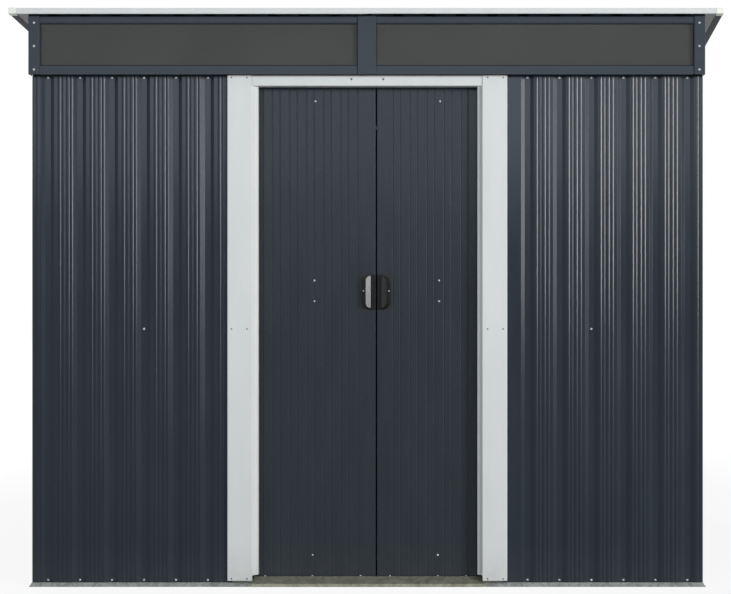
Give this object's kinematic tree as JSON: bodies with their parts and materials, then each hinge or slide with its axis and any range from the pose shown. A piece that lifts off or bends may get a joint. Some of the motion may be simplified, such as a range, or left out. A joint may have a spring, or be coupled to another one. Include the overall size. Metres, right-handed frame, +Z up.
{
  "type": "metal storage shed",
  "caption": "Metal garden shed with a single-slope roof, grooved sheet walls, a window band over the front and a pair of sliding doors between jambs.",
  "frame": {"origin": "on the ground under the middle of the roof's outline", "axes": "+X to the right seen from the front, +Y to the rear, +Z up; the doors are on the -Y side"},
  "size_m": [2.474, 1.854, 2.0137],
  "materials": {
    "wall_paint": "satin anthracite powder coat on thin steel sheet",
    "frame_paint": "satin dark grey powder coat",
    "white_paint": "satin white powder coat",
    "galvanised": "plain galvanised steel",
    "smoked_pane": "smoked clear plastic sheet",
    "white_plastic": "moulded off-white plastic",
    "black_plastic": "moulded black plastic"
  },
  "bodies": {
    "shed": {"base_front_rail": "galvanised", "base_rear_rail": "galvanised", "base_left_rail": "galvanised", "base_right_rail": "galvanised", "door_threshold": "galvanised", "front_left_wall": "wall_paint", "front_right_wall": "wall_paint", "left_wall": "wall_paint", "right_wall": "wall_paint", "rear_left_wall": "wall_paint", "rear_right_wall": "wall_paint", "front_left_corner": "wall_paint", "front_right_corner": "wall_paint", "rear_left_corner": "wall_paint", "rear_right_corner": "wall_paint", "left_gable": "wall_paint", "right_gable": "wall_paint", "mid_rails": "galvanised", "top_rails": "galvanised", "roof_beam": "galvanised", "left_door_jamb": "white_paint", "right_door_jamb": "white_paint", "door_header": "white_paint", "door_track": "galvanised", "window_top_rail": "frame_paint", "window_bottom_rail": "frame_paint", "window_left_post": "frame_paint", "window_middle_post": "frame_paint", "window_right_post": "frame_paint", "left_window": "smoked_pane", "right_window": "smoked_pane", "roof_left_sheet": "wall_paint", "roof_middle_left_sheet": "wall_paint", "roof_middle_right_sheet": "wall_paint", "roof_right_sheet": "wall_paint", "front_left_fascia": "white_paint", "front_right_fascia": "white_paint", "rear_fascia": "white_paint", "left_roof_trim": "frame_paint", "right_roof_trim": "frame_paint", "roof_corner_caps": "white_plastic"},
    "left_door": {"left_door_leaf": "wall_paint", "left_door_braces": "galvanised", "left_door_handle": "black_plastic", "left_door_glides": "black_plastic"},
    "right_door": {"right_door_leaf": "wall_paint", "right_door_braces": "galvanised", "right_door_handle": "black_plastic", "right_door_glides": "black_plastic"}
  },
  "joints": [
    {"name": "left_door_slide", "type": "slide", "parent": "shed", "child": "left_door", "axis": [-1, 0, 0], "range_m": [0, 0.345]},
    {"name": "right_door_slide", "type": "slide", "parent": "shed", "child": "right_door", "axis": [1, 0, 0], "range_m": [0, 0.3]}
  ]
}
